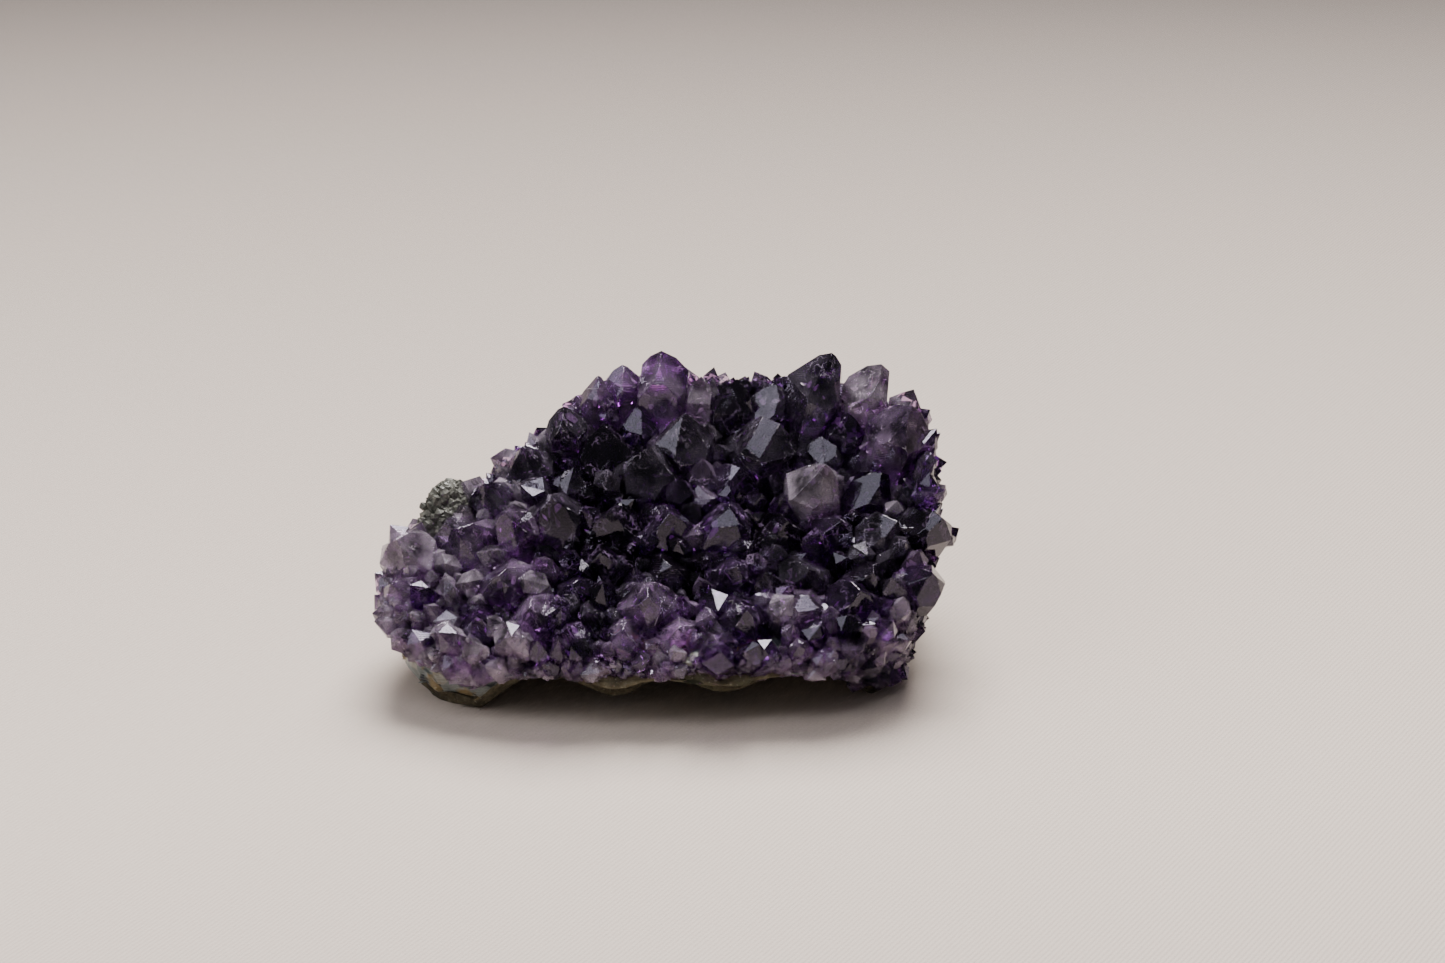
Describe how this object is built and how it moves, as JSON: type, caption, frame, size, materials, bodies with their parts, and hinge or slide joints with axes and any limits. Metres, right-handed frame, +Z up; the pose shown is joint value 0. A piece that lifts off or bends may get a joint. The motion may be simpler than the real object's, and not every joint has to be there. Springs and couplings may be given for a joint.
{
  "type": "amethyst cluster",
  "caption": "Broken piece of a geode wall: basalt rind, agate band and a sloping bed of quartz set with pointed amethyst crystals, deep purple in the middle, pale lilac at the ends.",
  "frame": {"origin": "on the ground plane, under the middle of the object's bounding box", "axes": "+Z up; +X along the cluster's length; -Y is the side towards which the bed of crystals slopes down"},
  "size_m": [0.0992, 0.0582, 0.0473],
  "materials": {
    "basalt": "rough",
    "agate": "satin",
    "quartz": "sparkling",
    "amethyst_dark": "polished",
    "amethyst_purple": "polished",
    "amethyst_lilac": "polished",
    "quartz_pale": "satin",
    "quartz_grey": "satin"
  },
  "bodies": {
    "root": {"basalt_rind": "basalt", "agate_band": "agate", "quartz_bed": "quartz", "crest_point": "amethyst_lilac", "crest_left_inner": "amethyst_lilac", "crest_left_middle": "amethyst_lilac", "crest_left_outer": "quartz_grey", "crest_small": "quartz_pale", "crest_dark_left": "amethyst_dark", "crest_dark_right": "quartz_grey", "crest_peak": "quartz_grey", "crest_peak_right": "quartz_pale", "crest_right_end": "quartz_pale", "crest_behind": "amethyst_purple", "ridge_upper": "quartz_grey", "ridge_lower": "quartz_grey", "left_grey": "quartz_grey", "left_end": "quartz_pale", "left_end_low": "amethyst_lilac", "left_lilac_large": "amethyst_lilac", "left_lilac_tall": "amethyst_lilac", "left_veiled": "quartz_grey", "left_rimmed": "amethyst_lilac", "front_left_block": "amethyst_lilac", "front_left_small": "amethyst_purple", "front_left_dark": "amethyst_purple", "front_left_low": "amethyst_purple", "middle_left_dark": "amethyst_dark", "middle_left_small": "quartz_grey", "front_grey_small": "quartz_grey", "front_lilac_tall": "amethyst_lilac", "front_lilac_twin": "amethyst_lilac", "front_lilac_small": "amethyst_lilac", "upper_dark": "amethyst_dark", "upper_grey_tip": "quartz_grey", "upper_frosted": "quartz_grey", "upper_grey_face": "quartz_grey", "upper_glint": "amethyst_purple", "centre_dark": "amethyst_dark", "centre_purple": "amethyst_purple", "centre_facet": "amethyst_purple", "centre_rimmed": "quartz_pale", "centre_low": "amethyst_purple", "centre_deep": "amethyst_dark", "centre_right_deep": "amethyst_dark", "right_upper_purple": "amethyst_purple", "right_upper_grey": "quartz_grey", "right_lilac_large": "amethyst_lilac", "right_lilac_low": "amethyst_lilac", "right_edge": "quartz_pale", "right_dull": "amethyst_purple", "right_block": "amethyst_dark", "right_facet": "quartz_grey", "right_pale_point": "quartz_pale", "right_dark": "amethyst_dark", "front_right_round": "amethyst_purple", "front_right_bright": "amethyst_lilac", "front_right_striped": "quartz_grey", "front_purple_large": "amethyst_purple"}
  },
  "joints": []
}
